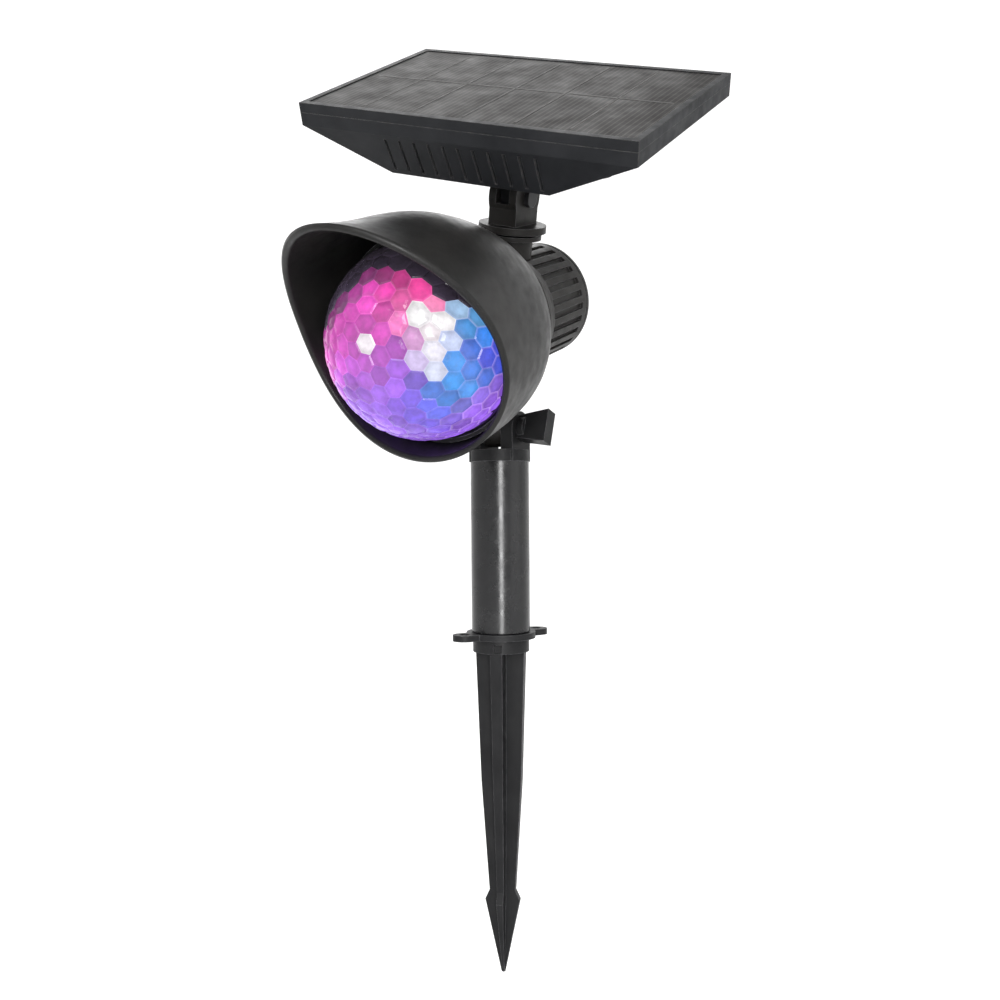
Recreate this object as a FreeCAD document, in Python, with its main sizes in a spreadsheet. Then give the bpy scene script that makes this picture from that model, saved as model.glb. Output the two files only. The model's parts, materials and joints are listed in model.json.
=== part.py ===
"""Solar light projector on a ground stake.

Millimetres, +Z up.  The origin is the centre of the mounting flange's underside, where the
spike enters the ground.  The pole turns in the spike, the lamp tilts in the pole's fork, the
neck swivels on the lamp and the solar panel tilts on the neck.
"""
import FreeCAD, Part
import math
import os
import re
import Sketcher
from FreeCAD import Placement, Rotation, Vector

SIZES = {
    # ground spike and flange
    "spike_root": 5.0, "spike_length": 126.0, "spike_half": 9.25, "fin_thick": 4.6,
    "waist_depth": 95.0, "waist_half": 4.9, "waist_thick": 2.6, "mid_depth": 54.0, "mid_half": 7.6,
    "mid_thick": 3.7, "barb_depth": 98.6, "barb_half": 6.6, "tip_half": 0.7,
    "collar_radius": 10.6, "plug_radius": 9.0, "plug_height": 20.0, "notch_width": 3.0, "notch_depth": 4.0,
    "flange_thick": 2.3, "flange_radius": 13.0, "ear_reach": 16.0, "ear_radius": 4.4,
    "screw_hole": 2.0, "flange_bore": 9.1,
    # pole
    "pole_radius": 11.0, "pole_bore": 9.2, "pole_foot": 2.6, "pole_top": 66.2, "fork_base": 70.6,
    "fork_plug": 9.1, "fork_plug_depth": 12.0, "pivot_height": 78.3, "fork_inner": 4.5,
    "fork_outer": 9.5, "fork_round": 6.5,
    "lug_half": 4.3, "lug_length": 34.0, "bolt_radius": 2.5, "bolt_hole": 2.57,
    "wing_start": 9.7, "wing_hub": 4.4, "wing_waist": 12.5, "wing_waist_half": 4.9, "wing_end": 21.6,
    "wing_end_half": 6.3, "wing_half_thick": 2.7, "nut_flats": 4.4, "nut_height": 3.2,
    # lamp head, measured along the lamp's axis from the bead ring
    "body_radius": 21.0, "body_wall": 2.2, "body_rear": 44.0, "body_shoulder": 18.0,
    "body_mouth": 26.0, "mouth_depth": 5.0, "bead_half": 2.0, "bead_radius": 27.6,
    "groove_width": 2.2, "groove_depth": 1.2, "groove_length": 24.0,
    "cap_thick": 2.6, "cap_spigot": 3.0, "gasket_thick": 0.8,
    "screw_circle": 15.6, "boss_radius": 3.6, "boss_length": 10.0, "pilot_radius": 1.4,
    "screw_radius": 1.35, "screw_head": 2.6, "screw_head_height": 1.6, "screw_length": 11.0,
    "hood_foot": 28.5, "hood_knee": 35.5, "hood_knee_depth": 16.0, "hood_rim": 41.0,
    "hood_length": 78.0, "hood_wall": 2.0, "seat_radius": 30.5, "seat_depth": 22.0,
    "rim_low": 40.4, "rim_turn": 45.0, "rim_arc": 120.6,
    "dome_centre": 32.7, "dome_radius": 31.5, "dome_wall": 1.8, "dome_flange": 33.4,
    "bezel_outer": 34.0, "bezel_depth": 4.0,
    "rotor_radius": 26.0, "rotor_wall": 1.2, "rotor_hub": 2.5, "rotor_skirt": 4.0,
    "hub_length": 9.0, "hub_bore": 7.0,
    "shaft_radius": 1.0, "shaft_bore": 1.05, "motor_radius": 10.0, "motor_length": 18.0,
    "motor_nose": 3.0, "mount_thick": 1.6, "mount_radius": 26.4, "board_radius": 21.0,
    "led_side": 5.0, "led_height": 1.6, "led_circle": 9.0,
    # neck
    "neck_height": 29.8, "neck_back": 20.4, "neck_plug": 5.1, "neck_bore": 5.2,
    "boss_top": 28.4, "boss_foot": 16.5, "neck_boss": 7.4, "neck_disc": 11.8, "disc_half": 1.2,
    "lock_radius": 10.4, "lock_thick": 1.6, "lock_notch": 4.0, "clip_radius": 7.0, "clip_thick": 1.2,
    "clip_depth": 15.0, "plug_length": 15.5, "wire_way": 2.2, "post_half": 5.3, "post_deep": 15.5,
    "post_round": 8.6, "tongue_half": 2.3, "tongue_slot": 2.5, "tongue_round": 5.5,
    "slot_floor": 5.7, "web_drop": 2.0, "hinge_height": 10.4, "hinge_bolt": 1.5, "hinge_hole": 1.58,
    "hinge_head": 3.2, "hinge_head_height": 1.8, "hinge_nut_radius": 3.3, "hinge_nut_height": 2.4,
    # solar panel
    "base_height": 15.0, "base_long": 57.0, "base_deep": 64.6, "taper_height": 13.4,
    "tray_long": 117.4, "tray_deep": 74.6, "tray_height": 4.0, "frame_height": 3.05,
    "panel_wall": 1.8, "frame_lip": 2.2, "frame_floor": 1.2, "cell_inset": 2.3,
    "cell_thick": 1.6, "panel_shift": 2.0,
    "battery_radius": 7.0, "battery_length": 50.0, "board_long": 40.0, "board_deep": 18.0,
    "board_thick": 1.4, "button_radius": 4.0, "button_hole": 4.08, "button_height": 3.6,
    "button_proud": 1.4, "switch_side": 6.0, "switch_height": 2.2, "switch_lift": 2.8,
    "board_lift": 5.0, "battery_near": 10.0, "panel_screw_length": 7.0,
    "slot_width": 1.0, "slot_depth": 0.6, "slot_length": 11.5, "slot_gap": 5.3,
    "button_back": 20.0, "panel_screw_x": 44.0, "panel_screw_y": 30.0,
}
# The pose in which the lamp stands at rest, in degrees and millimetres.
LAMP_YAW, LAMP_TILT, LAMP_ROLL, PANEL_LEAN = 25.3, 19.5, -16.7, 14.1
LAMP_OFFSET = Vector(10.5, 43.3, 17.5)
GROOVES, SLOTS = 28, 11
X, Y, Z = Vector(1, 0, 0), Vector(0, 1, 0), Vector(0, 0, 1)
UPRIGHT = Placement()

doc = FreeCAD.newDocument("LightProjectorStake")
sheet = doc.addObject("Spreadsheet::Sheet", "Sizes")
for row, (alias, value) in enumerate(SIZES.items(), 1):
    sheet.set("A%d" % row, alias)
    sheet.set("B%d" % row, str(value))
    sheet.setAlias("B%d" % row, alias)
doc.recompute()
pieces = []


def cells(text):
    """A size formula with each word turned into its spreadsheet cell."""
    return re.sub(r"[a-z][a-z_]+", lambda word: "Sizes." + word.group(0), str(text))


def size(alias):
    return float(sheet.get(alias))


def bind(thing, **formulas):
    for prop, formula in formulas.items():
        thing.setExpression(prop, cells(formula))
    return thing


def put(thing, x="0", y="0", z="0", axis=Z, angle=0.0):
    """Turn a primitive about an axis and bind its corner or centre to the sheet."""
    thing.Placement = Placement(Vector(), Rotation(axis, angle))
    for prop, formula in (("Placement.Base.x", x), ("Placement.Base.y", y), ("Placement.Base.z", z)):
        thing.setExpression(prop, cells(formula))
    return thing


def cylinder(radius, height, **spot):
    return put(bind(doc.addObject("Part::Cylinder", "Cylinder"), Radius=radius, Height=height), **spot)


def box(length, width, height, **spot):
    solid = doc.addObject("Part::Box", "Box")
    return put(bind(solid, Length=length, Width=width, Height=height), **spot)


def dome(radius, z):
    """The front half of a ball."""
    ball = bind(doc.addObject("Part::Sphere", "Dome"), Radius=radius)
    ball.Angle1 = 0
    return put(ball, z=z)


def hexagon(flats, height, **spot):
    prism = bind(doc.addObject("Part::Prism", "Hexagon"), Circumradius=flats, Height=height)
    prism.Polygon = 6
    return put(prism, **spot)


def fuse(*solids):
    whole = doc.addObject("Part::MultiFuse", "Fuse")
    whole.Shapes = list(solids)
    return whole


def cut(base, *tools):
    whole = doc.addObject("Part::Cut", "Cut")
    whole.Base = base
    whole.Tool = tools[0] if len(tools) == 1 else fuse(*tools)
    return whole


def group(*solids):
    """Several like fasteners in one piece."""
    whole = doc.addObject("Part::Compound", "Group")
    whole.Links = list(solids)
    return whole


def keep(label, thing, place):
    """Name a finished sub-part and stand it in its frame."""
    if thing.isDerivedFrom("Part::Primitive"):
        thing = group(thing)
    thing.Label = label
    pieces.append((thing, place))
    return thing


def outline(body, role, corners, lift="0", arcs=()):
    """A closed outline on an origin plane of the body; each corner is a pair of size formulas.

    arcs holds (edge, radius formula, bulge side) for the edges that are round.
    """
    sketch = body.newObject("Sketcher::SketchObject", "Outline")
    plane = [item for item in body.Origin.OriginFeatures if item.Role == role][0]
    sketch.AttachmentSupport = [(plane, "")]
    sketch.MapMode = "FlatFace"
    sketch.setExpression("AttachmentOffset.Base.z", cells(lift))
    count = len(corners)
    spots = [Vector(plain(x), plain(y), 0) for x, y in corners]
    round_edges = {edge: (radius, side) for edge, radius, side in arcs}
    for edge in range(count):
        start, end = spots[edge], spots[(edge + 1) % count]
        if edge in round_edges:
            radius, side = plain(round_edges[edge][0]), round_edges[edge][1]
            chord = end - start
            rise = radius - math.sqrt(radius ** 2 - (chord.Length / 2) ** 2)
            normal = Vector(chord.y, -chord.x, 0).normalize() * side
            middle = (start + end) * 0.5 + normal * rise
            sketch.addGeometry(Part.Arc(start, middle, end))
        else:
            sketch.addGeometry(Part.LineSegment(start, end))
    turns = {edge: (1, 2) for edge in range(count)}
    for edge, (radius, side) in round_edges.items():
        turns[edge] = (1, 2) if side > 0 else (2, 1)
    for edge in range(count):
        follower = (edge + 1) % count
        sketch.addConstraint(Sketcher.Constraint(
            "Coincident", edge, turns[edge][1], follower, turns[follower][0]))
    for edge, corner in enumerate(corners):
        for kind, formula in zip(("DistanceX", "DistanceY"), corner):
            spot = Sketcher.Constraint(kind, -1, 1, edge, turns[edge][0], plain(formula))
            index = sketch.addConstraint(spot)
            sketch.setExpression("Constraints[%d]" % index, cells(formula))
    for edge, (radius, side) in round_edges.items():
        index = sketch.addConstraint(Sketcher.Constraint("Radius", edge, plain(radius)))
        sketch.setExpression("Constraints[%d]" % index, cells(radius))
    return sketch


def plain(formula):
    """The value of a sum such as "hood_rim - hood_wall + 2", read from the sheet."""
    total = 0.0
    for sign, term in re.findall(r"([+-]?)\s*([a-z0-9_./* ]*[a-z0-9_.])", str(formula)):
        product = 1.0
        for factor in term.split("*"):
            parts = factor.split("/")
            values = [size(p.strip()) if p.strip()[0].isalpha() else float(p) for p in parts]
            product *= values[0] / math.prod(values[1:])
        total += -product if sign == "-" else product
    return total


def turned(corners, arcs=()):
    """A turned piece: radius and height pairs spun about Z."""
    body = doc.addObject("PartDesign::Body", "Turned")
    sketch = outline(body, "XZ_Plane", corners, arcs=arcs)
    spin = body.newObject("PartDesign::Revolution", "Spin")
    spin.Profile = sketch
    spin.ReferenceAxis = (sketch, ["V_Axis"])
    spin.Angle = 360
    return body


def lofted(sections):
    """A solid through flat outlines, each a list of corners at a height."""
    body = doc.addObject("PartDesign::Body", "Lofted")
    rings = [outline(body, "XY_Plane", corners, lift=height) for corners, height in sections]
    loft = body.newObject("PartDesign::AdditiveLoft", "Loft")
    loft.Profile = rings[0]
    loft.Sections = rings[1:]
    loft.Ruled = True
    return body


def plus(half, thick):
    """Corners of a cross of two fins."""
    a, b = half, "%s / 2" % thick
    ring = [(a, b), (b, b), (b, a)]
    corners = []
    for sx, sy in ((1, 1), (-1, 1), (-1, -1), (1, -1)):
        quarter = ring if sx * sy > 0 else ring[::-1]
        for x, y in quarter:
            corners.append((("-" if sx < 0 else "") + x, ("-" if sy < 0 else "") + y))
    return corners


def oblong(half_x, half_y):
    """Corners of a centred rectangle."""
    return [("-" + half_x, "-" + half_y), (half_x, "-" + half_y), (half_x, half_y),
            ("-" + half_x, half_y)]


def ring_of(count, make, first=0.0):
    """Copies of a primitive made at equal turns; make takes the angle in degrees."""
    return [make(first + 360.0 * index / count) for index in range(count)]


# ---- frames -------------------------------------------------------------------------------
pole_frame = Placement(Vector(), Rotation(Z, LAMP_YAW))
tilt_frame = (Placement(Vector(0, 0, size("pivot_height")), Rotation(Z, LAMP_YAW))
              * Placement(Vector(), Rotation(X, LAMP_TILT + 90)))
lamp_frame = tilt_frame * Placement(LAMP_OFFSET, Rotation(Z, LAMP_ROLL))
neck_frame = lamp_frame * Placement(Vector(0, size("neck_height"), -size("neck_back")),
                                    Rotation(X, -90))
panel_frame = neck_frame * Placement(Vector(0, 0, size("hinge_height")), Rotation(X, PANEL_LEAN))
lug_frame = Placement(LAMP_OFFSET, Rotation(Z, LAMP_ROLL)).inverse()


# ---- spike and flange ---------------------------------------------------------------------
def ground_spike():
    sections = (("spike_half", "fin_thick", "-spike_root"), ("mid_half", "mid_thick", "-mid_depth"),
                ("waist_half", "waist_thick", "-waist_depth"),
                ("barb_half", "waist_thick", "-barb_depth"), ("tip_half", "tip_half", "-spike_length"))
    blade = lofted([(plus(half, thick), height) for half, thick, height in sections])
    blade.Placement = Placement(Vector(), Rotation(Z, 45))
    collar = cylinder("collar_radius", "spike_root", z="-spike_root")
    plug = cylinder("plug_radius", "plug_height")
    hollow = cylinder("plug_radius - 2", "plug_height", z="3")
    notch = box("notch_depth", "notch_width", "spike_root - 1.5", x="collar_radius - 2.5",
                y="-notch_width / 2", z="-spike_root")
    turned_notch = doc.addObject("Part::Compound", "Notch")
    turned_notch.Links = [notch]
    turned_notch.Placement = Placement(Vector(), Rotation(Z, -40))
    return keep("ground_spike", cut(fuse(blade, collar, plug), hollow, turned_notch), UPRIGHT)


def mounting_flange():
    disc = cylinder("flange_radius", "flange_thick")
    ears = [cylinder("ear_radius", "flange_thick", y=side + "ear_reach") for side in ("", "-")]
    bar = box("2 * ear_radius", "2 * ear_reach", "flange_thick", x="-ear_radius", y="-ear_reach")
    holes = [cylinder("screw_hole", "flange_thick", y=side + "ear_reach") for side in ("", "-")]
    centre = cylinder("flange_bore", "flange_thick")
    return keep("mounting_flange", cut(fuse(disc, bar, *ears), centre, *holes), UPRIGHT)


# ---- pole ---------------------------------------------------------------------------------
def pole_tube():
    tube = cylinder("pole_radius", "pole_top - pole_foot", z="pole_foot")
    bore = cylinder("pole_bore", "pole_top - pole_foot", z="pole_foot")
    return keep("pole_tube", cut(tube, bore), pole_frame)


def pole_fork():
    """Moulded fork, plugged into the top of the tube."""
    plug = cylinder("fork_plug", "fork_plug_depth", z="pole_top - fork_plug_depth")
    base = cylinder("pole_radius", "fork_base - pole_top", z="pole_top")
    cheeks = []
    for start in ("fork_inner", "-fork_outer"):
        cheeks.append(box("fork_outer - fork_inner", "2 * fork_round", "pivot_height - pole_top",
                          x=start, y="-fork_round", z="pole_top"))
        cheeks.append(cylinder("fork_round", "fork_outer - fork_inner", x=start,
                               z="pivot_height", axis=Y, angle=90))
    hole = cylinder("bolt_hole", "4 * fork_outer", x="-2 * fork_outer", z="pivot_height",
                    axis=Y, angle=90)
    return keep("pole_fork", cut(fuse(plug, base, *cheeks), hole), pole_frame)


def wing_screw():
    """Tilt clamp: a threaded stem with a moulded wing that fans out from its hub."""
    stem = cylinder("bolt_radius", "wing_start + fork_outer + nut_height + 1",
                    x="-fork_outer - nut_height - 1", axis=Y, angle=90)
    hub = cylinder("wing_hub", "wing_waist - wing_start", x="wing_start", axis=Y, angle=90)
    fan = lofted([(oblong("wing_hub", "wing_half_thick"), "wing_start"),
                  (oblong("wing_waist_half", "wing_half_thick"), "wing_waist"),
                  (oblong("wing_end_half", "wing_half_thick"), "wing_end")])
    fan.Placement = Placement(Vector(), Rotation(Y, 90))
    place = pole_frame * Placement(Vector(0, 0, size("pivot_height")), Rotation(X, -18))
    return keep("wing_screw", fuse(stem, hub, fan), place)


def fork_nut():
    nut = hexagon("nut_flats", "nut_height", x="-fork_outer - nut_height", axis=Y, angle=90)
    bore = cylinder("bolt_hole", "2 * nut_height", x="-fork_outer - 1.5 * nut_height",
                    axis=Y, angle=90)
    place = pole_frame * Placement(Vector(0, 0, size("pivot_height")), Rotation())
    return keep("fork_nut", cut(nut, bore), place)


# ---- lamp head ----------------------------------------------------------------------------
def rear_housing():
    shell = turned([("body_radius", "-body_rear"), ("body_radius", "-body_shoulder"),
                    ("body_mouth", "-mouth_depth"), ("body_mouth", "-bead_half"),
                    ("body_mouth - body_wall", "-bead_half"),
                    ("body_mouth - body_wall", "-mouth_depth - 0.5"),
                    ("body_radius - body_wall", "-body_shoulder - 0.5"),
                    ("body_radius - body_wall", "-body_rear")])
    boss = cylinder("neck_boss", "boss_top - boss_foot", y="boss_top", z="-neck_back",
                    axis=X, angle=90)
    bore = cylinder("neck_bore", "boss_top - boss_foot + 4", y="boss_top + 2", z="-neck_back",
                    axis=X, angle=90)
    web = box("2 * lug_half", "lug_length", "2 * fork_round", x="-lug_half", z="-fork_round")
    eye = cylinder("fork_round", "2 * lug_half", x="-lug_half", axis=Y, angle=90)
    eye_hole = cylinder("bolt_hole", "4 * lug_half", x="-2 * lug_half", axis=Y, angle=90)
    lug = cut(fuse(web, eye), eye_hole)
    lug.Placement = lug_frame
    inside = cylinder("body_radius - body_wall", "body_rear - body_shoulder", z="-body_rear")
    outer_lug = cut(lug, inside)
    screw_bosses = ring_of(3, lambda turn: spoke(
        cylinder("boss_radius", "boss_length", x="screw_circle",
                 z="-body_rear + cap_spigot"), turn), 30)
    pilots = ring_of(3, lambda turn: spoke(
        cylinder("pilot_radius", "boss_length + 1", x="screw_circle",
                 z="-body_rear + cap_spigot - 0.5"), turn), 30)
    grooves = ring_of(GROOVES, lambda turn: spoke(
        box("groove_depth + 1", "groove_width", "groove_length", x="body_radius - groove_depth",
            y="-groove_width / 2", z="-body_rear + 3"), turn), 180.0 / GROOVES)
    housing = cut(fuse(cut(shell, *grooves), boss, outer_lug, *screw_bosses), bore, *pilots)
    return keep("rear_housing", housing, lamp_frame)


def spoke(solid, turn):
    """Swing a solid about the Z axis."""
    swung = doc.addObject("Part::Compound", "Spoke")
    swung.Links = [solid]
    swung.Placement = Placement(Vector(), Rotation(Z, turn))
    return swung


def rear_gasket():
    ring = turned([("body_radius - 1.7", "-body_rear - gasket_thick"),
                   ("body_radius - 0.4", "-body_rear - gasket_thick"),
                   ("body_radius - 0.4", "-body_rear"), ("body_radius - 1.7", "-body_rear")])
    return keep("rear_gasket", ring, lamp_frame)


def rear_cap():
    face = "-body_rear - gasket_thick"
    spigot = "body_radius - body_wall - 0.2"
    disc = turned([("0", face + " - cap_thick"), ("body_radius - 2", face + " - cap_thick"),
                   ("body_radius", face + " - cap_thick + 1.4"), ("body_radius", face),
                   (spigot, face), (spigot, "-body_rear + cap_spigot - 0.2"),
                   (spigot + " - 1.5", "-body_rear + cap_spigot - 0.2"),
                   (spigot + " - 1.5", face), ("0", face)])
    holes = ring_of(3, lambda turn: spoke(
        cylinder("screw_radius + 0.1", "4 * cap_thick", x="screw_circle",
                 z=face + " - 2 * cap_thick"), turn), 30)
    sinks = ring_of(3, lambda turn: spoke(
        cylinder("screw_head + 0.1", "screw_head_height", x="screw_circle",
                 z=face + " - cap_thick"), turn), 30)
    return keep("rear_cap", cut(disc, *(holes + sinks)), lamp_frame)


def rear_cap_screws():
    face = "-body_rear - gasket_thick - cap_thick"
    stems = ring_of(3, lambda turn: spoke(
        cylinder("screw_radius", "screw_length", x="screw_circle", z=face), turn), 30)
    heads = ring_of(3, lambda turn: spoke(
        cylinder("screw_head", "screw_head_height - 0.1", x="screw_circle", z=face), turn), 30)
    screws = [fuse(stem, head) for stem, head in zip(stems, heads)]
    return keep("rear_cap_screws", group(*screws), lamp_frame)


def hood_lock_ring():
    ring = turned([("body_mouth - body_wall", "-bead_half"), ("bead_radius - 1", "-bead_half"),
                   ("bead_radius", "-bead_half + 1.2"), ("bead_radius", "bead_half - 1.2"),
                   ("bead_radius - 1", "bead_half"), ("body_mouth - body_wall", "bead_half")])
    return keep("hood_lock_ring", ring, lamp_frame)


def hood():
    """Bell-shaped shade whose rim sweeps forward into a visor on top."""
    bell = turned([("body_mouth - body_wall", "bead_half"), ("hood_foot", "bead_half"),
                   ("hood_knee", "hood_knee_depth"), ("hood_rim", "hood_length"),
                   ("hood_rim - hood_wall", "hood_length"), ("hood_knee - 1.35", "seat_depth + 2"),
                   ("seat_radius", "seat_depth + 2"), ("seat_radius", "seat_depth"),
                   ("hood_knee - 1.5", "seat_depth"), ("hood_knee - 2", "hood_knee_depth + 0.8"),
                   ("hood_foot - 1.7", "bead_half + 2"),
                   ("body_mouth - body_wall", "bead_half + 2")])
    trim = bell.newObject("PartDesign::Pocket", "RimTrim")
    trim.Profile = outline(bell, "YZ_Plane", [
        ("-hood_rim - 5", "rim_low"), ("-5", "rim_turn"), ("hood_rim + 1", "hood_length + 0.5"),
        ("hood_rim + 1", "hood_length + 30"), ("-hood_rim - 5", "hood_length + 30")],
        arcs=[(1, "rim_arc", 1)])
    trim.SideType = "Symmetric"
    trim.Type = "Length"
    trim.Length = 300
    return keep("hood", bell, lamp_frame)


def lens_gasket():
    low, high = "seat_depth + 2", "seat_depth + 3"
    ring = turned([("seat_radius + 0.4", low), ("dome_flange", low), ("dome_flange", high),
                   ("seat_radius + 0.4", high)])
    return keep("lens_gasket", ring, lamp_frame)


def dome_lens():
    foot = "seat_depth + 3"
    skin = fuse(dome("dome_radius", "dome_centre"),
                cylinder("dome_radius", "dome_centre - seat_depth - 3", z=foot),
                cylinder("dome_flange", "2", z=foot))
    hollow = fuse(dome("dome_radius - dome_wall", "dome_centre"),
                  cylinder("dome_radius - dome_wall", "dome_centre - seat_depth - 2",
                           z="seat_depth + 2"))
    return keep("dome_lens", cut(skin, hollow), lamp_frame)


def lens_bezel():
    low, high = "seat_depth + 5", "seat_depth + 5 + bezel_depth"
    ring = turned([("dome_radius + 0.3", low), ("bezel_outer", low), ("bezel_outer", high),
                   ("dome_radius + 1.2", high), ("dome_radius + 0.3", high + " - 1")])
    return keep("lens_bezel", ring, lamp_frame)


def pattern_rotor():
    """Inner lens drum, carried at its pole by the motor shaft."""
    inner = "rotor_radius - rotor_wall"
    skin = fuse(dome("rotor_radius", "dome_centre"),
                cylinder("rotor_radius", "rotor_skirt", z="dome_centre - rotor_skirt"))
    hollow = fuse(dome(inner, "dome_centre"),
                  cylinder(inner, "rotor_skirt + 1", z="dome_centre - rotor_skirt - 1"))
    hub = cylinder("rotor_hub", "hub_length", z="dome_centre + rotor_radius - hub_length - 0.6")
    bore = cylinder("shaft_radius", "hub_bore", z="dome_centre + rotor_radius - hub_length - 1")
    return keep("pattern_rotor", cut(fuse(cut(skin, hollow), hub), bore), lamp_frame)


def motor_shaft():
    shaft = cylinder("shaft_radius", "dome_centre + rotor_radius - 3 + motor_length - 6",
                     z="6 - motor_length")
    return keep("motor_shaft", shaft, lamp_frame)


def motor():
    can = cylinder("motor_radius", "motor_length", z="bead_half + 2 - motor_length")
    nose = cylinder("motor_nose", "mount_thick - 0.2", z="bead_half + 2")
    bore = cylinder("shaft_bore", "motor_length", z="5 - motor_length + 0.5")
    return keep("motor", cut(fuse(can, nose), bore), lamp_frame)


def motor_mount():
    plate = cylinder("mount_radius", "mount_thick", z="bead_half + 2")
    hole = cylinder("motor_nose + 0.1", "mount_thick", z="bead_half + 2")
    return keep("motor_mount", cut(plate, hole), lamp_frame)


def led_board():
    foot = "bead_half + 2 + mount_thick"
    board = cylinder("board_radius", "mount_thick", z=foot)
    hole = cylinder("motor_nose + 0.4", "mount_thick", z=foot)
    return keep("led_board", cut(board, hole), lamp_frame)


def led_emitters():
    foot = "bead_half + 2 + 2 * mount_thick"
    chips = ring_of(4, lambda turn: spoke(
        box("led_side", "led_side", "led_height", x="led_circle - led_side / 2",
            y="-led_side / 2", z=foot), turn), 45)
    return keep("led_emitters", group(*chips), lamp_frame)


def reflector():
    foot = "bead_half + 2 + 2 * mount_thick"
    cone = turned([("board_radius - 6", foot), ("board_radius - 5", foot),
                   ("board_radius + 3", "seat_depth"), ("board_radius + 2", "seat_depth")])
    return keep("reflector", cone, lamp_frame)


def swivel_lock_ring():
    top = "boss_top - neck_height - 0.6"
    ring = cylinder("lock_radius", "lock_thick", z=top + " - lock_thick")
    bore = cylinder("neck_boss + 0.02", "lock_thick", z=top + " - lock_thick")
    notch = box("lock_notch", "lock_notch", "lock_thick", x="-lock_radius - 1", y="-lock_radius + 1",
                z=top + " - lock_thick")
    return keep("swivel_lock_ring", cut(ring, bore, notch), neck_frame)


# ---- neck ---------------------------------------------------------------------------------
def neck_post():
    """Square post on a turning disc, slotted at the top for the panel's tongue."""
    disc = cylinder("neck_disc", "2 * disc_half", z="-disc_half")
    plug = cylinder("neck_plug", "plug_length - disc_half", z="-plug_length")
    block = box("2 * post_half", "post_deep", "hinge_height - disc_half", x="-post_half",
                y="-post_deep / 2", z="disc_half")
    eye = cylinder("post_round", "2 * post_half", x="-post_half", z="hinge_height",
                   axis=Y, angle=90)
    slot = box("2 * tongue_slot", "slot_floor + 2 * post_round", "slot_floor + 2 * post_round",
               x="-tongue_slot", y="-slot_floor", z="hinge_height - slot_floor")
    mouth = box("2 * tongue_slot", "4 * post_round", "4 * post_round", x="-tongue_slot",
                y="-2 * post_round", z="hinge_height - web_drop")
    hole = cylinder("hinge_hole", "4 * post_half", x="-2 * post_half", z="hinge_height",
                    axis=Y, angle=90)
    wires = cylinder("wire_way", "plug_length + hinge_height", z="-plug_length")
    post = cut(fuse(disc, plug, block, eye), slot, mouth, hole, wires)
    return keep("neck_post", post, neck_frame)


def neck_clip():
    """Snap ring on the neck's plug, under the boss."""
    ring = cylinder("clip_radius", "clip_thick", z="-clip_depth")
    bore = cylinder("neck_plug", "clip_thick", z="-clip_depth")
    return keep("neck_clip", cut(ring, bore), neck_frame)


# ---- solar panel --------------------------------------------------------------------------
TRAY_FOOT = "base_height + taper_height"
TRAY_TOP = "base_height + taper_height + tray_height"
FRAME_TOP = "base_height + taper_height + tray_height + frame_height"


def panel_shell(inset, floor, top):
    """Tapered box: a small base that widens to the tray; inset draws every side in."""
    base = (inset_oblong("base_long", "base_deep", inset), floor)
    brow = (inset_oblong("tray_long", "tray_deep", inset), TRAY_FOOT)
    rim = (inset_oblong("tray_long", "tray_deep", inset), top)
    return lofted([base, brow, rim])


def inset_oblong(long_side, deep_side, inset):
    half_long, half_deep = long_side + " / 2", deep_side + " / 2"
    left, right = "panel_shift - %s + %s" % (half_long, inset), "panel_shift + %s - %s" % (
        half_long, inset)
    near, far = "-%s + %s" % (half_deep, inset), "%s - %s" % (half_deep, inset)
    return [(left, near), (right, near), (right, far), (left, far)]


def panel_back_cover():
    outer = panel_shell("0", "base_height", TRAY_TOP)
    inner = panel_shell("panel_wall", "base_height + panel_wall", TRAY_TOP)
    tongue = box("2 * tongue_half", "2 * tongue_round", "base_height + 1", x="-tongue_half",
                 y="-tongue_round")
    eye = cylinder("tongue_round", "2 * tongue_half", x="-tongue_half", axis=Y, angle=90)
    hole = cylinder("hinge_hole", "4 * tongue_half", x="-2 * tongue_half", axis=Y, angle=90)
    button = cylinder("button_hole", "3 * panel_wall", y="button_back",
                      z="base_height - panel_wall", x="panel_shift")
    screw_posts = [cylinder("boss_radius", "boss_length", x="panel_shift " + sx + " panel_screw_x",
                            y=sy + "panel_screw_y", z=TRAY_TOP + " - boss_length")
                   for sx in "+-" for sy in ("", "-")]
    pilots = [cylinder("pilot_radius", "boss_length + 1",
                       x="panel_shift " + sx + " panel_screw_x", y=sy + "panel_screw_y",
                       z=TRAY_TOP + " - boss_length + 1.5") for sx in "+-" for sy in ("", "-")]
    slope = math.degrees(math.atan((size("tray_deep") - size("base_deep")) / 2 / size("taper_height")))
    slots = [box("slot_width", "slot_depth + 1", "slot_length", axis=X, angle=slope,
                 x="panel_shift - slot_width / 2 + slot_gap * %d" % index,
                 y="-base_deep / 2 - 1.4", z="base_height + 0.9")
             for index in range(-(SLOTS // 2), SLOTS // 2 + 1)]
    shell = cut(outer, inner)
    whole = cut(fuse(shell, tongue, eye, *screw_posts), hole, button, *(pilots + slots))
    return keep("panel_back_cover", whole, panel_frame)


def panel_frame_rim():
    outer = lofted([(inset_oblong("tray_long", "tray_deep", "0"), TRAY_TOP),
                    (inset_oblong("tray_long", "tray_deep", "0"), FRAME_TOP)])
    window = lofted([(inset_oblong("tray_long", "tray_deep", "frame_lip"),
                      TRAY_TOP + " + frame_floor"),
                     (inset_oblong("tray_long", "tray_deep", "frame_lip"), FRAME_TOP + " + 1")])
    return keep("panel_top_frame", cut(outer, window), panel_frame)


def solar_cell_plate():
    foot = TRAY_TOP + " + frame_floor"
    plate = lofted([(inset_oblong("tray_long", "tray_deep", "cell_inset"), foot),
                    (inset_oblong("tray_long", "tray_deep", "cell_inset"), foot + " + cell_thick")])
    return keep("solar_cell_plate", plate, panel_frame)


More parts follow.
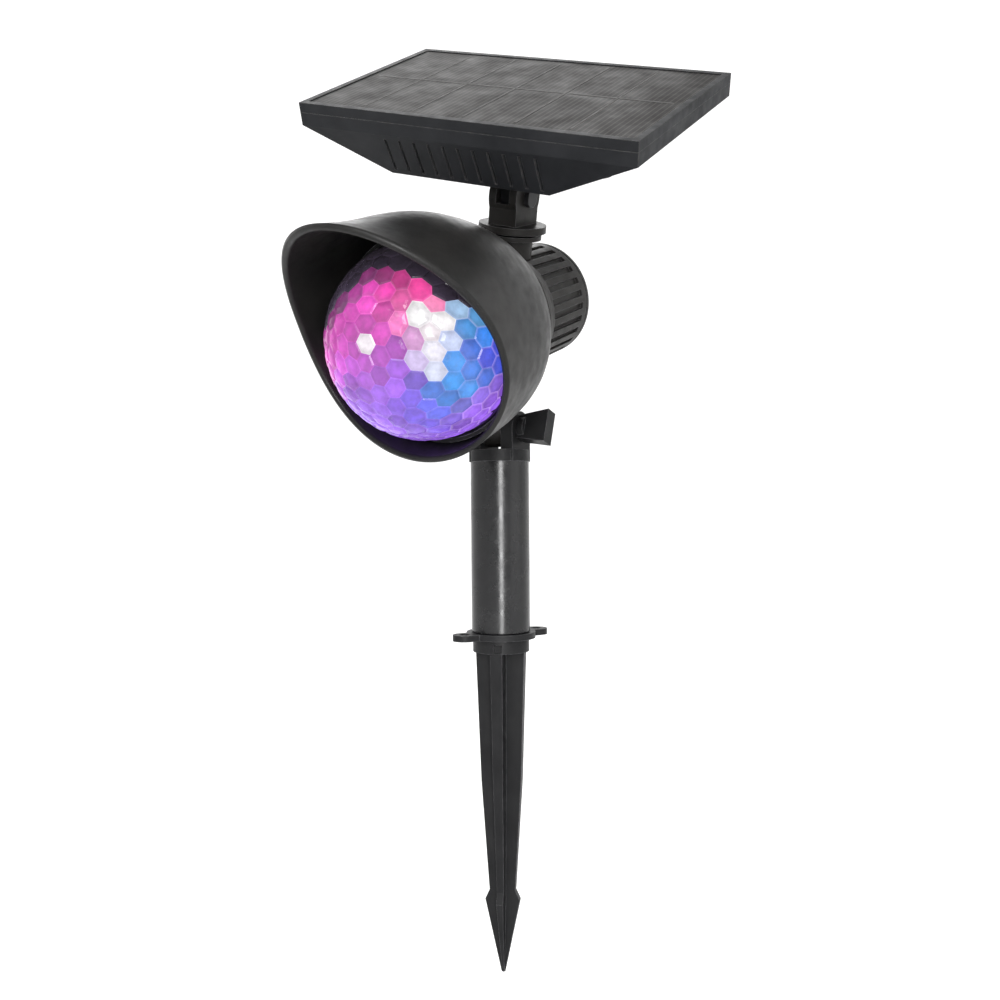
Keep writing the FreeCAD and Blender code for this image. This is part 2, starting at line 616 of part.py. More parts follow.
def panel_screws():
    screws = []
    for sx in "+-":
        for sy in ("", "-"):
            spot = {"x": "panel_shift " + sx + " panel_screw_x", "y": sy + "panel_screw_y"}
            screws.append(cylinder("screw_radius", "panel_screw_length",
                                   z=TRAY_TOP + " - panel_screw_length", **spot))
    return keep("panel_screws", group(*screws), panel_frame)


def battery_cell():
    can = cylinder("battery_radius", "battery_length", x="panel_shift - battery_length / 2",
                   y="-battery_near", z="base_height + panel_wall + battery_radius + 0.2",
                   axis=Y, angle=90)
    return keep("battery_cell", can, panel_frame)


def control_board():
    board = box("board_long", "board_deep", "board_thick", x="panel_shift - board_long / 2",
                y="button_back - board_deep / 2", z="base_height + panel_wall + board_lift")
    return keep("control_board", board, panel_frame)


def tact_switch():
    block = box("switch_side", "switch_side", "switch_height", x="panel_shift - switch_side / 2",
                y="button_back - switch_side / 2", z="base_height + panel_wall + switch_lift")
    return keep("tact_switch", block, panel_frame)


def power_button():
    cap = cylinder("button_radius", "button_height", x="panel_shift", y="button_back",
                   z="base_height - button_proud")
    return keep("power_button", cap, panel_frame)


def hinge_bolt():
    stem = cylinder("hinge_bolt", "2 * post_half + hinge_nut_height + 0.6",
                    x="-post_half - hinge_nut_height - 0.6", axis=Y, angle=90)
    head = cylinder("hinge_head", "hinge_head_height", x="post_half", axis=Y, angle=90)
    return keep("hinge_bolt", fuse(stem, head), panel_frame)


def hinge_nut():
    nut = hexagon("hinge_nut_radius", "hinge_nut_height", x="-post_half - hinge_nut_height",
                  axis=Y, angle=90)
    bore = cylinder("hinge_hole", "3 * hinge_nut_height", x="-post_half - 2 * hinge_nut_height",
                    axis=Y, angle=90)
    return keep("hinge_nut", cut(nut, bore), panel_frame)


for make in (ground_spike, mounting_flange, pole_tube, pole_fork, wing_screw, fork_nut, rear_housing,
             rear_gasket, rear_cap, rear_cap_screws, hood_lock_ring, hood, lens_gasket, dome_lens,
             lens_bezel, pattern_rotor, motor_shaft, motor, motor_mount, led_board, led_emitters,
             reflector, swivel_lock_ring, neck_post, neck_clip, panel_back_cover,
             panel_frame_rim, solar_cell_plate, panel_screws, battery_cell, control_board,
             tact_switch, power_button, hinge_bolt, hinge_nut):
    make()
doc.recompute()
for piece, place in pieces:
    piece.Placement = place * piece.Placement
doc.recompute()

faults = [thing.Label for thing in doc.Objects if {"Invalid", "Error"} & set(thing.State)]
faults += [piece.Label for piece, _ in pieces if piece.Shape.isNull() or not piece.Shape.isValid()]
if faults:
    raise RuntimeError("not built: " + ", ".join(faults))
os.makedirs("parts", exist_ok=True)
for piece, _ in pieces:
    piece.Shape.exportStep("parts/%s.step" % piece.Label)
    print(piece.Label, len(piece.Shape.Solids), round(piece.Shape.Volume))
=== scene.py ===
import json
import math
import random

import bmesh
import bpy
from mathutils import Matrix, Vector


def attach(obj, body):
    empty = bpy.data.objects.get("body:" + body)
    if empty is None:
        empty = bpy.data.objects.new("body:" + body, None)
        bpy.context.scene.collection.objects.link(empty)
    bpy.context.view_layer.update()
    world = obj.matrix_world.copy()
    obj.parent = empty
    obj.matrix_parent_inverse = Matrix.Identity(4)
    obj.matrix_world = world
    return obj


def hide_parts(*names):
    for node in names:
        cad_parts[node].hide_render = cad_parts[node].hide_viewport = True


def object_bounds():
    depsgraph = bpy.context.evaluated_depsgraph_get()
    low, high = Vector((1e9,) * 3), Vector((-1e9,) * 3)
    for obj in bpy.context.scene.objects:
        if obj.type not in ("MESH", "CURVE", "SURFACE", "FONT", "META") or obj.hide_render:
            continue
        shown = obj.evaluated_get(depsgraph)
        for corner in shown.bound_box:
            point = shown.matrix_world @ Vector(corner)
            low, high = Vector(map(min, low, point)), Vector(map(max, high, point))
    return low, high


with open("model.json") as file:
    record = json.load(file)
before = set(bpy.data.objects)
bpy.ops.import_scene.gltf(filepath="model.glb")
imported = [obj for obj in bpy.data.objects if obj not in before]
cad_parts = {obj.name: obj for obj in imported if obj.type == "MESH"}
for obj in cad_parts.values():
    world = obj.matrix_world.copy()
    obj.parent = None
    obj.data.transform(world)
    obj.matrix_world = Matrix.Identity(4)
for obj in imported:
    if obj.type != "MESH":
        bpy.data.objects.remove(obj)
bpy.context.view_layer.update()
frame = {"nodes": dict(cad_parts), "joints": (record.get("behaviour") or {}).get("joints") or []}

MM = 0.001
draw = random.Random(7)

# ---- frames, from the joints ---------------------------------------------------------------
joints = {joint["name"]: joint for joint in frame["joints"]}


def axis(name):
    return Vector(joints[name]["axis"]).normalized()


def pivot(name):
    return Vector(joints[name]["pos_m"])


def stand(x, y, z, origin):
    """A frame with those axes at that origin."""
    turn = Matrix((x, y, z)).transposed().to_4x4()
    return Matrix.Translation(origin) @ turn


ROTOR_MARK = 10 * MM            # the spin joint's point lies this far in front of the bead ring
lamp_z, lamp_y = axis("rotor_spin"), axis("neck_swivel")
lamp_x = lamp_y.cross(lamp_z)
LAMP = stand(lamp_x, lamp_y, lamp_z, pivot("rotor_spin") - ROTOR_MARK * lamp_z)
panel_x, panel_z = axis("panel_tilt"), axis("button_press")
PANEL = stand(panel_x, panel_z.cross(panel_x), panel_z, pivot("panel_tilt"))


# ---- material helpers ----------------------------------------------------------------------
class Shader:
    """A node-based material under construction."""

    def __init__(self, name):
        self.material = bpy.data.materials.new(name)
        self.material.use_nodes = True
        self.tree = self.material.node_tree
        self.surface = self.tree.nodes["Principled BSDF"]

    def node(self, kind, **settings):
        made = self.tree.nodes.new("ShaderNode" + kind)
        for key, value in settings.items():
            setattr(made, key, value)
        return made

    def link(self, out, into):
        self.tree.links.new(out, into)

    def noise(self, scale, detail=3.0, rough=0.55):
        place = self.node("TexCoord")
        made = self.node("TexNoise")
        made.inputs["Scale"].default_value = scale
        made.inputs["Detail"].default_value = detail
        made.inputs["Roughness"].default_value = rough
        self.link(place.outputs["Object"], made.inputs["Vector"])
        return made.outputs["Fac"]

    def span(self, value, low, high, start=0.3, end=0.7):
        made = self.node("MapRange")
        ends = (("From Min", start), ("From Max", end), ("To Min", low), ("To Max", high))
        for key, number in ends:
            made.inputs[key].default_value = number
        self.link(value, made.inputs["Value"])
        return made.outputs["Result"]

    def mix(self, fac, first, second):
        """A colour between two, each a colour or a socket."""
        made = self.node("Mix", data_type="RGBA")
        self.link(fac, made.inputs[0])
        for socket, value in ((made.inputs[6], first), (made.inputs[7], second)):
            if isinstance(value, tuple):
                socket.default_value = (*value, 1)
            else:
                self.link(value, socket)
        return made.outputs[2]

    def bump(self, height, distance, normal=None):
        made = self.node("Bump")
        made.inputs["Distance"].default_value = distance
        made.inputs["Strength"].default_value = 1.0
        self.link(height, made.inputs["Height"])
        if normal:
            self.link(normal, made.inputs["Normal"])
        return made.outputs["Normal"]

    def edges(self, radius):
        """(rounded normal, mask that is 1 along edges)."""
        soft = self.node("Bevel", samples=4)
        soft.inputs["Radius"].default_value = radius
        flat = self.node("NewGeometry")
        dot = self.node("VectorMath", operation="DOT_PRODUCT")
        self.link(soft.outputs["Normal"], dot.inputs[0])
        self.link(flat.outputs["Normal"], dot.inputs[1])
        return soft.outputs["Normal"], self.span(dot.outputs["Value"], 1.0, 0.0, 0.86, 0.995)


def moulded(name, dark, light, rough, grain=2600.0, depth=0.012 * MM, wear_and_highlight=(0.11, 0.11, 0.115),
            edge=0.35 * MM, shine=0.1):
    """Black moulded plastic: mottled tone, spark-eroded grain, edges paler, partly rubbed wear and
    partly a painted highlight.
    """
    shader = Shader(name)
    cloud = shader.noise(55.0, 4.0)
    tone = shader.mix(shader.span(cloud, 0.0, 1.0), dark, light)
    soft, mask = shader.edges(edge)
    # Paler edges: rubbed wear mixed with a painted edge highlight.
    scuff_and_highlight = shader.node("Math", operation="MULTIPLY")
    shader.link(mask, scuff_and_highlight.inputs[0])
    shader.link(shader.span(shader.noise(420.0, 2.0), 0.15, 0.85), scuff_and_highlight.inputs[1])
    shader.link(shader.mix(scuff_and_highlight.outputs[0], tone, wear_and_highlight), shader.surface.inputs["Base Color"])
    shader.link(shader.span(shader.noise(230.0, 5.0), rough - 0.07, rough + 0.09),
                shader.surface.inputs["Roughness"])
    shader.link(shader.bump(shader.noise(grain, 2.0), depth, soft),
                shader.surface.inputs["Normal"])
    shader.surface.inputs["Specular IOR Level"].default_value = shine
    return shader.material


def zinc(name):
    """Zinc-plated steel with fine brushing."""
    shader = Shader(name)
    patch = shader.noise(300.0, 4.0)
    shader.link(shader.mix(shader.span(patch, 0.0, 1.0), (0.2, 0.2, 0.21), (0.33, 0.33, 0.33)),
                shader.surface.inputs["Base Color"])
    shader.surface.inputs["Metallic"].default_value = 1.0
    shader.link(shader.span(shader.noise(900.0), 0.24, 0.42), shader.surface.inputs["Roughness"])
    shader.link(shader.bump(shader.noise(3000.0), 0.006 * MM), shader.surface.inputs["Normal"])
    return shader.material


def plain_part(name, dark, light, rough, grain=1500.0):
    """Inner parts: moulded or lacquered, mottled and slightly rough."""
    shader = Shader(name)
    shader.link(shader.mix(shader.span(shader.noise(160.0), 0.0, 1.0), dark, light),
                shader.surface.inputs["Base Color"])
    shader.link(shader.span(shader.noise(400.0), rough - 0.08, rough + 0.1),
                shader.surface.inputs["Roughness"])
    shader.link(shader.bump(shader.noise(grain), 0.01 * MM), shader.surface.inputs["Normal"])
    return shader.material


def lit_lens(name):
    """Clear plastic facets, each filled with its own coloured light."""
    shader = Shader(name)
    glow = shader.node("Attribute", attribute_name="glow")
    cloud = shader.span(shader.noise(330.0, 4.0), 0.74, 1.14)
    lit = shader.node("VectorMath", operation="SCALE")
    shader.link(glow.outputs["Color"], lit.inputs[0])
    shader.link(cloud, lit.inputs["Scale"])
    shader.link(lit.outputs["Vector"], shader.surface.inputs["Emission Color"])
    shader.surface.inputs["Emission Strength"].default_value = 1.08
    base = shader.mix(shader.span(shader.noise(90.0), 0.0, 1.0),
                      (0.02, 0.015, 0.025), (0.04, 0.03, 0.05))
    shader.link(base, shader.surface.inputs["Base Color"])
    shader.link(shader.span(shader.noise(500.0), 0.06, 0.16), shader.surface.inputs["Roughness"])
    shader.link(shader.bump(shader.noise(700.0), 0.03 * MM), shader.surface.inputs["Normal"])
    shader.surface.inputs["Specular IOR Level"].default_value = 0.15
    return shader.material


def solar(name):
    """Laminated cells: fine contact fingers over dark silicon; UVs are in millimetres."""
    shader = Shader(name)
    place = shader.node("UVMap", uv_map="mm")
    split = shader.node("SeparateXYZ")
    shader.link(place.outputs["UV"], split.inputs[0])

    def stripe(source, period, share):
        turn = shader.node("Math", operation="PINGPONG")
        shader.link(source, turn.inputs[0])
        turn.inputs[1].default_value = period / 2
        return shader.span(turn.outputs[0], 1.0, 0.0, period * share * 0.5, period * share)

    fingers = stripe(split.outputs[0], 1.75, 0.17)
    cells = shader.mix(shader.span(shader.noise(30.0, 2.0), 0.0, 1.0),
                       (0.008, 0.0076, 0.0074), (0.0095, 0.009, 0.0087))
    tone = shader.mix(fingers, cells, (0.030, 0.027, 0.025))
    shader.link(tone, shader.surface.inputs["Base Color"])
    shader.link(shader.span(shader.noise(120.0, 4.0), 0.34, 0.5), shader.surface.inputs["Roughness"])
    shader.link(shader.bump(shader.noise(1800.0), 0.008 * MM), shader.surface.inputs["Normal"])
    shader.surface.inputs["Specular IOR Level"].default_value = 0.03
    return shader.material


stake_black = moulded("stake_black", (0.006, 0.006, 0.0065), (0.012, 0.012, 0.0125), 0.42)
tube_gloss = moulded("tube_gloss", (0.006, 0.006, 0.0065), (0.010, 0.010, 0.0105), 0.22,
                     depth=0.001 * MM, shine=0.3)
housing_black = moulded("housing_black", (0.008, 0.0075, 0.007), (0.016, 0.015, 0.014), 0.42)
# The hood's pale edge colour is a painted highlight along its rim.
hood_black = moulded("hood_black", (0.006, 0.006, 0.006), (0.011, 0.0105, 0.01), 0.38, shine=0.16,
                     wear_and_highlight=(0.3, 0.3, 0.31))
panel_black = moulded("panel_black", (0.007, 0.0075, 0.0085), (0.013, 0.0135, 0.015), 0.48,
                      wear_and_highlight=(0.07, 0.068, 0.065))
bolt_black = moulded("black_steel", (0.012, 0.012, 0.013), (0.025, 0.025, 0.026), 0.34)
steel = zinc("zinc_steel")
rubber = plain_part("seal_rubber", (0.02, 0.02, 0.02), (0.04, 0.04, 0.04), 0.7)
white_part = plain_part("white_plastic", (0.7, 0.7, 0.68), (0.82, 0.82, 0.8), 0.5)
board_green = plain_part("circuit_board", (0.01, 0.09, 0.03), (0.02, 0.15, 0.05), 0.35)
cell_wrap = plain_part("battery_wrap", (0.02, 0.12, 0.3), (0.03, 0.18, 0.4), 0.3)
glow_lens = lit_lens("clear_lens")
solar_face = solar("solar_cell")

NODE_LOOKS = {
    "ground_spike": stake_black, "mounting_flange": stake_black, "pole_tube": tube_gloss,
    "pole_fork": stake_black, "fork_nut": steel, "wing_screw": stake_black,
    "rear_housing": housing_black,
    "rear_gasket": rubber, "rear_cap": housing_black, "rear_cap_screws": steel,
    "hood_lock_ring": housing_black, "lens_gasket": rubber, "lens_bezel": hood_black,
    "motor": steel, "motor_mount": white_part, "led_board": board_green,
    "led_emitters": white_part, "reflector": white_part, "swivel_lock_ring": housing_black,
    "pattern_rotor": white_part, "motor_shaft": steel, "neck_post": housing_black,
    "neck_clip": steel, "panel_back_cover": panel_black, "panel_top_frame": panel_black,
    "panel_screws": steel, "battery_cell": cell_wrap, "control_board": board_green,
    "tact_switch": rubber, "hinge_bolt": bolt_black, "hinge_nut": bolt_black, "power_button": rubber,
}
for node_name, holder in frame["nodes"].items():
    if node_name in NODE_LOOKS:
        holder.data.materials.clear()
        holder.data.materials.append(NODE_LOOKS[node_name])


# ---- mesh helpers --------------------------------------------------------------------------
def piece(name, verts, faces, place, look, body, smooth=True):
    """A mesh whose points are millimetres in a frame, riding on a body."""
    mesh = bpy.data.meshes.new(name)
    mesh.from_pydata([place @ (Vector(v) * MM) for v in verts], [], faces)
    mesh.validate()
    tidy = bmesh.new()
    tidy.from_mesh(mesh)
    bmesh.ops.recalc_face_normals(tidy, faces=tidy.faces)
    tidy.to_mesh(mesh)
    tidy.free()
    mesh.materials.append(look)
    for polygon in mesh.polygons:
        polygon.use_smooth = smooth
    made = bpy.data.objects.new(name, mesh)
    bpy.context.scene.collection.objects.link(made)
    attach(made, body)
    return made


def spun(rings):
    """Points and faces of closed outlines (radius, depth) set round the lamp's axis."""
    rings = list(rings)
    turns, count = len(rings), len(rings[0])
    verts, faces = [], []
    for index, ring in enumerate(rings):
        turn = 2 * math.pi * index / turns
        verts += [(r * math.sin(turn), r * math.cos(turn), depth) for r, depth in ring]
        here, after = index * count, (index + 1) % turns * count
        for step in range(count):
            up = (step + 1) % count
            faces.append((here + step, here + up, after + up, after + step))
    return verts, faces


def blend_curve(points, value):
    """The value on a line drawn through (position, value) points."""
    for (x0, y0), (x1, y1) in zip(points, points[1:]):
        if value <= x1:
            part = max(0.0, (value - x0) / (x1 - x0))
            return y0 + (y1 - y0) * part
    return points[-1][1]


# ---- hood ----------------------------------------------------------------------------------
# (depth from the bead ring, outer radius)
BELL = [(2.0, 28.4), (4.0, 30.2), (7.0, 32.0), (11.0, 33.6), (16.0, 34.9), (22.0, 35.8),
        (30.0, 36.5), (41.0, 37.4), (60.0, 39.2), (80.0, 41.0)]
HOOD_WALL, HOOD_TURNS, HOOD_STEPS = 1.9, 256, 44
HOOD_FOOT, HOOD_FLOOR, HOOD_BORE = 2.0, 3.6, 24.2    # foot, inner face of its base, bore radius
FOOT_CROWDING = 1.25              # rings of points stand closer near the foot, where it curves
RIM_SKEW = 0.08                   # the visor's peak leans to one side, in radians
CROWN_SWELL, CROWN_DEPTH, CROWN_SPAN = 3.2, 36, 20
UNDER_PINCH, UNDER_DEPTH, UNDER_SPAN, UNDER_SKEW = 1.5, 9, 8, 0.5


def swell(turn, depth):
    """The bell stands fuller over its crown and draws in under the lamp, next to the bead."""
    crown = max(0.0, math.cos(turn)) ** 1.5 * math.exp(-((depth - CROWN_DEPTH) / CROWN_SPAN) ** 2)
    under = max(0.0, -math.cos(turn - UNDER_SKEW))
    under *= math.exp(-((depth - UNDER_DEPTH) / UNDER_SPAN) ** 2)
    return CROWN_SWELL * crown - UNDER_PINCH * under


def bell(turn, depth):
    return blend_curve(BELL, depth) + swell(turn, depth)


def rim_height(turn):
    """How far forward the rim stands, by angle from the top: short below, a visor above."""
    return 53.0 + 16.6 * math.cos(turn) + 6.0 * math.cos(2 * turn) + 0.6 * math.cos(3 * turn)


def hood_outline(turn):
    """The hood's closed section at one angle: up outside, over the rounded lip, down inside."""
    rim = rim_height(turn + RIM_SKEW)
    depths = [HOOD_FOOT + (rim - HOOD_FOOT) * (step / HOOD_STEPS) ** FOOT_CROWDING
              for step in range(HOOD_STEPS + 1)]
    outside = [(bell(turn, depth), depth) for depth in depths]
    lip = [(bell(turn, rim) - HOOD_WALL * across, rim + rise)
           for across, rise in ((0.28, 0.22), (0.5, 0.5), (0.72, 0.22))]
    inside = [(bell(turn, depth) - HOOD_WALL, max(depth, HOOD_FLOOR)) for depth in reversed(depths)]
    return outside + lip + inside + [(HOOD_BORE, HOOD_FLOOR), (HOOD_BORE, HOOD_FOOT)]


def build_hood():
    verts, faces = spun(hood_outline(2 * math.pi * k / HOOD_TURNS) for k in range(HOOD_TURNS))
    made = piece("hood_shell", verts, faces, LAMP, hood_black, "head")
    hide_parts("hood")


# ---- faceted dome --------------------------------------------------------------------------
DOME_CENTRE, DOME_RADIUS = 32.7, 31.5
CELL_TURN = math.radians(11.2)      # angle between neighbouring facets
RING_SPACING = 0.9                  # rings of facets nest a little closer than the facets do
GROOVE_DEPTH, CROWN_RISE = 0.42, 0.05
MAGENTA, ROSE, ORCHID = (0.75, 0.05, 0.5), (0.85, 0.05, 0.3), (0.7, 0.1, 0.65)
VIOLET, INDIGO, AZURE, TEAL = (0.3, 0.12, 0.77), (0.08, 0.08, 0.8), (0.02, 0.35, 0.9), (0.3, 0.5, 0.6)
WHITE, UNLIT, FACET_EDGE = (0.84, 0.84, 0.82), (0.012, 0.010, 0.013), (0.9, 0.62, 0.95)
# Where each colour leaves the dome: how far right and up it heads, and how widely it spreads.
LIGHTS = [
    (MAGENTA, -0.4, 0.2, 0.4), (MAGENTA, -0.1, 0.5, 0.3), (ROSE, 0.2, 0.6, 0.3),
    (ORCHID, 0.0, 0.1, 0.3), (VIOLET, 0.0, -0.3, 0.35), (VIOLET, 0.1, -0.6, 0.35),
    (VIOLET, 0.4, 0.0, 0.2), (VIOLET, 0.8, -0.5, 0.2), (INDIGO, 0.5, -0.4, 0.25),
    (INDIGO, 0.9, 0.1, 0.15), (AZURE, 0.7, -0.2, 0.2), (AZURE, 0.8, 0.0, 0.2),
    (AZURE, 0.8, 0.4, 0.15), (TEAL, 0.7, 0.6, 0.15),
]
# White patches: right, up and reach.
WHITE_SPOTS = [(0.4, 0.5, 0.15), (0.6, 0.4, 0.2), (0.5, 0.3, 0.1), (0.6, 0.1, 0.15), (0.0, 0.2, 0.05)]
# Painted shade where the hood overlaps the dome, darkening the lit field short of the hood:
# (direction across the edge, fully lit, dark).
SHADES = [((0.0, 0.74, -0.67), 0.09, 0.16), ((-0.8, 0.6, 0.0), 0.54, 0.66)]


def dome_points():
    """Facet centres in rings round the pole, each ring shifted half a facet."""
    points = [Vector((0, 0, 1)), Vector((0, 0, -1))]
    rings = round(math.pi / CELL_TURN / RING_SPACING)
    for ring in range(1, rings):
        polar = math.pi * ring / rings
        count = max(6, round(2 * math.pi * math.sin(polar) / CELL_TURN))
        for index in range(count):
            turn = 2 * math.pi * (index + 0.5 * (ring % 2)) / count
            reach = math.sin(polar)
            points.append(Vector((reach * math.cos(turn), reach * math.sin(turn), math.cos(polar))))
    return points


def outward(right, up):
    """The heading that leaves the dome's front that far right and up."""
    return Vector((right, up, math.sqrt(max(0.0, 1 - right ** 2 - up ** 2))))


def light_at(heading):
    """The colour that leaves the dome in one direction."""
    total, colour = 0.0, Vector((0, 0, 0))
    for tint, right, up, spread in LIGHTS:
        gap = (heading - outward(right, up)).length
        weight = math.exp(-(gap / spread) ** 2) + 1e-5
        total += weight
        colour += Vector(tint) * weight
    colour = colour / total
    white = 0.0
    for right, up, spread in WHITE_SPOTS:
        gap = (heading - outward(right, up)).length
        white = max(white, math.exp(-(gap / spread) ** 4))
    colour = colour.lerp(Vector(WHITE), white)
    # Painted shade from the hood: facets past these planes fade to the unlit colour.
    for across, lit, dark in SHADES:
        share = (heading.dot(Vector(across)) - lit) / (dark - lit)
        colour = colour.lerp(Vector(UNLIT), max(0.0, min(1.0, share)))
    return colour, white


def facet_loops():
    """(centre, corners) of each facet: the cells round the points of a hull."""
    hull = bmesh.new()
    for point in dome_points():
        hull.verts.new(point)
    bmesh.ops.convex_hull(hull, input=hull.verts)
    for vert in hull.verts:
        centre = vert.co.copy()
        if centre.z < -0.02 or not vert.link_faces:
            continue
        side = centre.orthogonal().normalized()
        across = centre.cross(side)
        corners = [face.calc_center_median().normalized() for face in vert.link_faces]
        corners.sort(key=lambda c: math.atan2((c - centre).dot(across), (c - centre).dot(side)))
        yield centre, corners
    hull.free()


def build_dome():
    verts, faces, tints = [], [], []
    crown = DOME_RADIUS + CROWN_RISE
    lift = Vector((0, 0, DOME_CENTRE))
    for centre, corners in facet_loops():
        colour, white = light_at(centre)
        sparkle = draw.uniform(0.68, 1.22)
        lively = sparkle if white < 0.5 else 1.0
        base = len(verts)
        count = len(corners)
        middle = sum(corners, Vector()) / count
        edge_pale = (0.05 + 0.3 * (1 - abs(centre.z)) ** 2) * min(1.0, 1.6 * colour.length)
        rows = ((DOME_RADIUS - GROOVE_DEPTH, 0.0, edge_pale, 1.0),
                (DOME_RADIUS - 0.1, 0.16, 0.0, 0.85), (crown, 0.5, 0.0, 1.0))
        for radius, inset, pale, gain in rows:
            for corner in corners:
                spot = corner.lerp(middle, inset).normalized()
                verts.append(spot * radius + lift)
                tone = colour.lerp(Vector(FACET_EDGE), pale * (1 - white))
                tints.append(tone * gain * lively)
        verts.append(middle.normalized() * (crown + 0.02) + lift)
        tints.append(colour * lively * 1.08)
        for index in range(count):
            after = (index + 1) % count
            for row in (0, count):
                faces.append((base + row + index, base + row + after, base + row + count + after,
                              base + row + count + index))
            faces.append((base + 2 * count + index, base + 2 * count + after, base + 3 * count))
    made = piece("faceted_dome", verts, faces, LAMP, glow_lens, "head", smooth=False)
    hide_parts("dome_lens")
    layer = made.data.color_attributes.new("glow", "FLOAT_COLOR", "POINT")
    for index, tint in enumerate(tints):
        layer.data[index].color = (*[max(0.0, min(1.0, c)) for c in tint], 1)


SKIRT_FOOT, SKIRT_FLANGE, SKIRT_OUTER, SKIRT_INNER, SKIRT_TURNS = 25.0, 33.3, 31.4, 29.8, 160
SKIRT_HEADING, SKIRT_GLOW = 6.0, 0.08


def build_lens_skirt():
    """The clear foot of the dome, between the facets and the bezel."""
    profile = [(SKIRT_FLANGE, SKIRT_FOOT), (SKIRT_FLANGE, SKIRT_FOOT + 2.0),
               (SKIRT_OUTER, SKIRT_FOOT + 2.2), (SKIRT_OUTER, DOME_CENTRE),
               (SKIRT_INNER, DOME_CENTRE), (SKIRT_INNER, SKIRT_FOOT)]
    verts, faces = spun(profile for _ in range(SKIRT_TURNS))
    made = piece("dome_skirt", verts, faces, LAMP, glow_lens, "head", smooth=False)
    layer = made.data.color_attributes.new("glow", "FLOAT_COLOR", "POINT")
    back = LAMP.inverted()
    for index, vert in enumerate(made.data.vertices):
        heading = (back @ vert.co) / MM
        colour = light_at(Vector((heading.x, heading.y, SKIRT_HEADING)).normalized())[0]
        layer.data[index].color = (*(colour * SKIRT_GLOW), 1)
    return made


# ---- solar panel ---------------------------------------------------------------------------
CELL_COLUMNS, CELL_ROWS = 6, 2


def slab(long_side, deep_side, low, high, round_off, centre):
    """Corners and faces of a plate with softened upper edges."""
    verts = []
    levels = ((0.0, low), (0.0, high - round_off),
              (round_off * 0.3, high - round_off * 0.3), (round_off, high))
    for inset, z in levels:
        x, y = long_side / 2 - inset, deep_side / 2 - inset
        verts += [(centre[0] - x, centre[1] - y, z), (centre[0] + x, centre[1] - y, z),
                  (centre[0] + x, centre[1] + y, z), (centre[0] - x, centre[1] + y, z)]
    faces = [(3, 2, 1, 0), (12, 13, 14, 15)]
    for row in range(3):
        for side in range(4):
            a, b = row * 4 + side, row * 4 + (side + 1) % 4
            faces.append((a, b, b + 4, a + 4))
    return verts, faces


def build_laminate():
    corners = [PANEL.inverted() @ v.co for v in frame["nodes"]["solar_cell_plate"].data.vertices]
    spans = [(min(c[i] for c in corners) / MM, max(c[i] for c in corners) / MM) for i in range(3)]
    (x0, x1), (y0, y1), (z0, z1) = spans
    centre = ((x0 + x1) / 2, (y0 + y1) / 2)
    verts, faces = slab(x1 - x0, y1 - y0, z0, z1, 0.3, centre)
    plate = piece("solar_laminate", verts, faces, PANEL, solar_face, "panel", False)
    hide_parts("solar_cell_plate")
    layer = plate.data.uv_layers.new(name="mm")
    back = PANEL.inverted()
    for loop in plate.data.loops:
        spot = back @ plate.data.vertices[loop.vertex_index].co
        layer.data[loop.index].uv = (spot.x / MM, spot.y / MM)
    strips, strip_faces = [], []
    long_side, deep_side = x1 - x0 - 5.0, y1 - y0 - 5.0
    bars = [(centre[0] + long_side * (i / CELL_COLUMNS - 0.5), centre[1], 0.7, deep_side)
            for i in range(1, CELL_COLUMNS)]
    bars += [(centre[0], centre[1] + deep_side * (i / CELL_ROWS - 0.5), long_side, 0.9)
             for i in range(1, CELL_ROWS)]
    for x, y, wide, deep in bars:
        bar_verts, bar_faces = slab(wide, deep, z1 - 0.05, z1 + 0.06, 0.03, (x, y))
        offset = len(strips)
        strips += bar_verts
        strip_faces += [tuple(v + offset for v in face) for face in bar_faces]
    piece("cell_dividers", strips, strip_faces, PANEL, divider_tone, "panel", False)


divider_tone = plain_part("cell_divider", (0.02, 0.019, 0.018), (0.03, 0.028, 0.027), 0.6)

build_hood()
build_dome()
build_lens_skirt()
build_laminate()


# ---- stage, light and camera ---------------------------------------------------------------
VIEW_TURN = math.radians(57.0)     # the camera stands this far round from the screw ears' line
CAMERA_REACH, CAMERA_HEIGHT = 0.363, 0.0518
LENS = 34.6
LEAN = math.radians(-0.45)         # the view is a touch out of plumb


def view_point(reach, side, height):
    """A point out along the view, to its right and up."""
    out = Vector((math.sin(VIEW_TURN), -math.cos(VIEW_TURN), 0))
    right = Vector((math.cos(VIEW_TURN), math.sin(VIEW_TURN), 0))
    return out * reach + right * side + Vector((0, 0, height))


def build_camera():
    data = bpy.data.cameras.new("camera")
    data.lens = LENS
    data.sensor_width = 36.0
    data.clip_start = 0.01
    camera = bpy.data.objects.new("camera", data)
    camera.location = view_point(CAMERA_REACH, 0, CAMERA_HEIGHT)
    turn = Matrix.Rotation(VIEW_TURN, 4, "Z") @ Matrix.Rotation(math.pi / 2, 4, "X")
    camera.rotation_euler = (turn @ Matrix.Rotation(LEAN, 4, "Z")).to_euler()
    bpy.context.scene.collection.objects.link(camera)
    bpy.context.scene.camera = camera


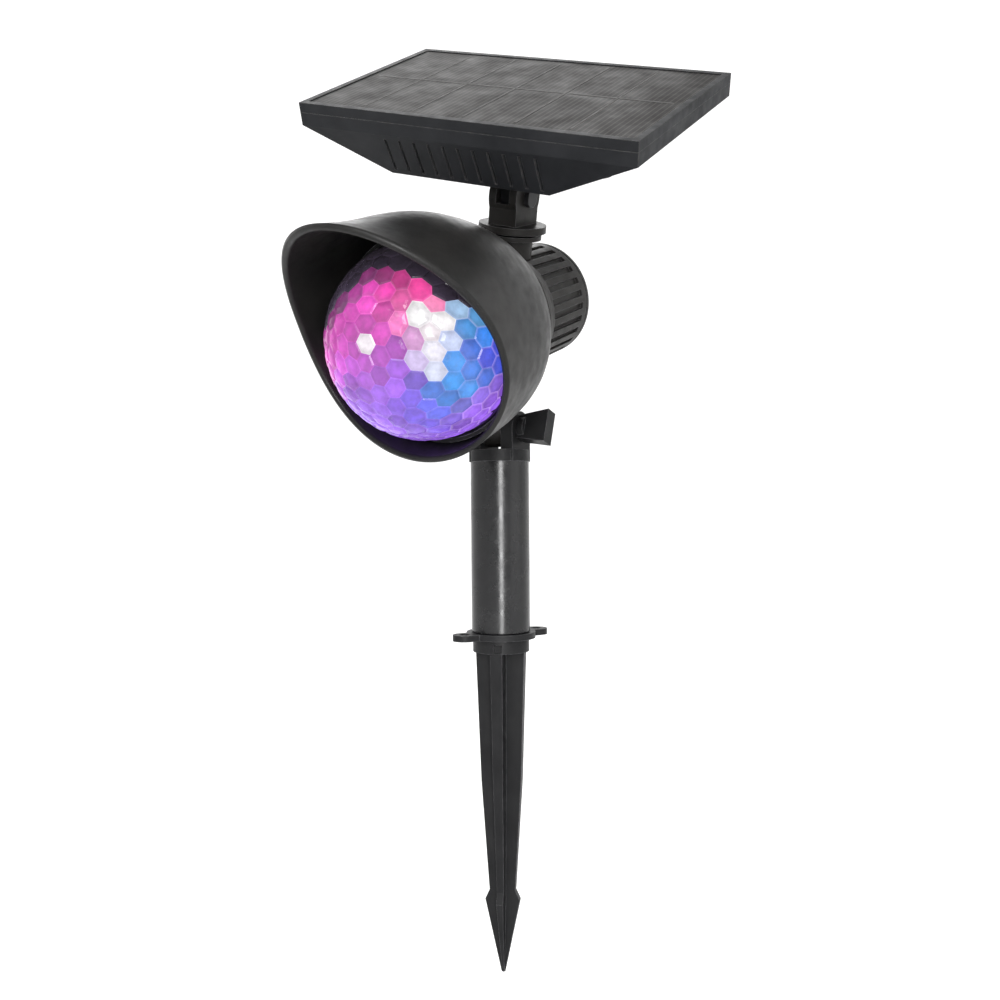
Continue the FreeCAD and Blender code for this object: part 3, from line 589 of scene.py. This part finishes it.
def build_floor():
    """A pale sheet that curves up far away on every side."""
    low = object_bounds()[0][2] - MM
    flat, bend, top, turns = 2.2, 1.5, 6.0, 72
    path = [(0.3, 0.0), (flat, 0.0)]
    path += [(flat + bend * math.sin(a), bend - bend * math.cos(a))
             for a in (math.radians(10 * k) for k in range(1, 10))]
    path.append((flat + bend, top))
    verts, faces = [(0, 0, low)], []
    for index in range(turns):
        turn = 2 * math.pi * index / turns
        verts += [(r * math.cos(turn), r * math.sin(turn), low + h) for r, h in path]
    count = len(path)
    for index in range(turns):
        here, after = 1 + index * count, 1 + (index + 1) % turns * count
        faces.append((0, here, after))
        faces += [(here + s, here + s + 1, after + s + 1, after + s) for s in range(count - 1)]
    mesh = bpy.data.meshes.new("floor")
    mesh.from_pydata(verts, [], faces)
    for polygon in mesh.polygons:
        polygon.use_smooth = True
    shader = Shader("floor_pale")
    shader.link(shader.mix(shader.span(shader.noise(3.0), 0.0, 1.0), (0.6, 0.6, 0.6),
                           (0.62, 0.62, 0.62)), shader.surface.inputs["Base Color"])
    shader.surface.inputs["Roughness"].default_value = 0.9
    shader.surface.inputs["Emission Color"].default_value = (1, 1, 1, 1)
    shader.surface.inputs["Emission Strength"].default_value = 0.55
    mesh.materials.append(shader.material)
    floor = bpy.data.objects.new("floor", mesh)
    bpy.context.scene.collection.objects.link(floor)


def area_light(name, reach, side, height, size, power, tall=None, target=(0, 0, 0.06)):
    data = bpy.data.lights.new(name, "AREA")
    data.shape = "RECTANGLE"
    data.size, data.size_y = size, tall or size
    data.energy = power
    lamp = bpy.data.objects.new(name, data)
    lamp.location = view_point(reach, side, height)
    lamp.rotation_euler = (Vector(target) - lamp.location).to_track_quat("-Z", "Y").to_euler()
    bpy.context.scene.collection.objects.link(lamp)


def build_world():
    world = bpy.data.worlds.new("studio")
    world.use_nodes = True
    world.node_tree.nodes["Background"].inputs[0].default_value = (1, 1, 1, 1)
    world.node_tree.nodes["Background"].inputs[1].default_value = 0.3
    bpy.context.scene.world = world


build_camera()
build_floor()
build_world()
area_light("key", 0.9, -0.25, 0.75, 0.35, 3.5)
area_light("strip", 0.9, 0.06, 0.12, 0.2, 12.0, tall=0.7)
area_light("fill", 0.5, 0.9, 0.3, 0.8, 1.6)
area_light("back_top", -0.9, -0.2, 1.1, 0.9, 7.0)
bpy.context.scene.view_settings.view_transform = "Standard"
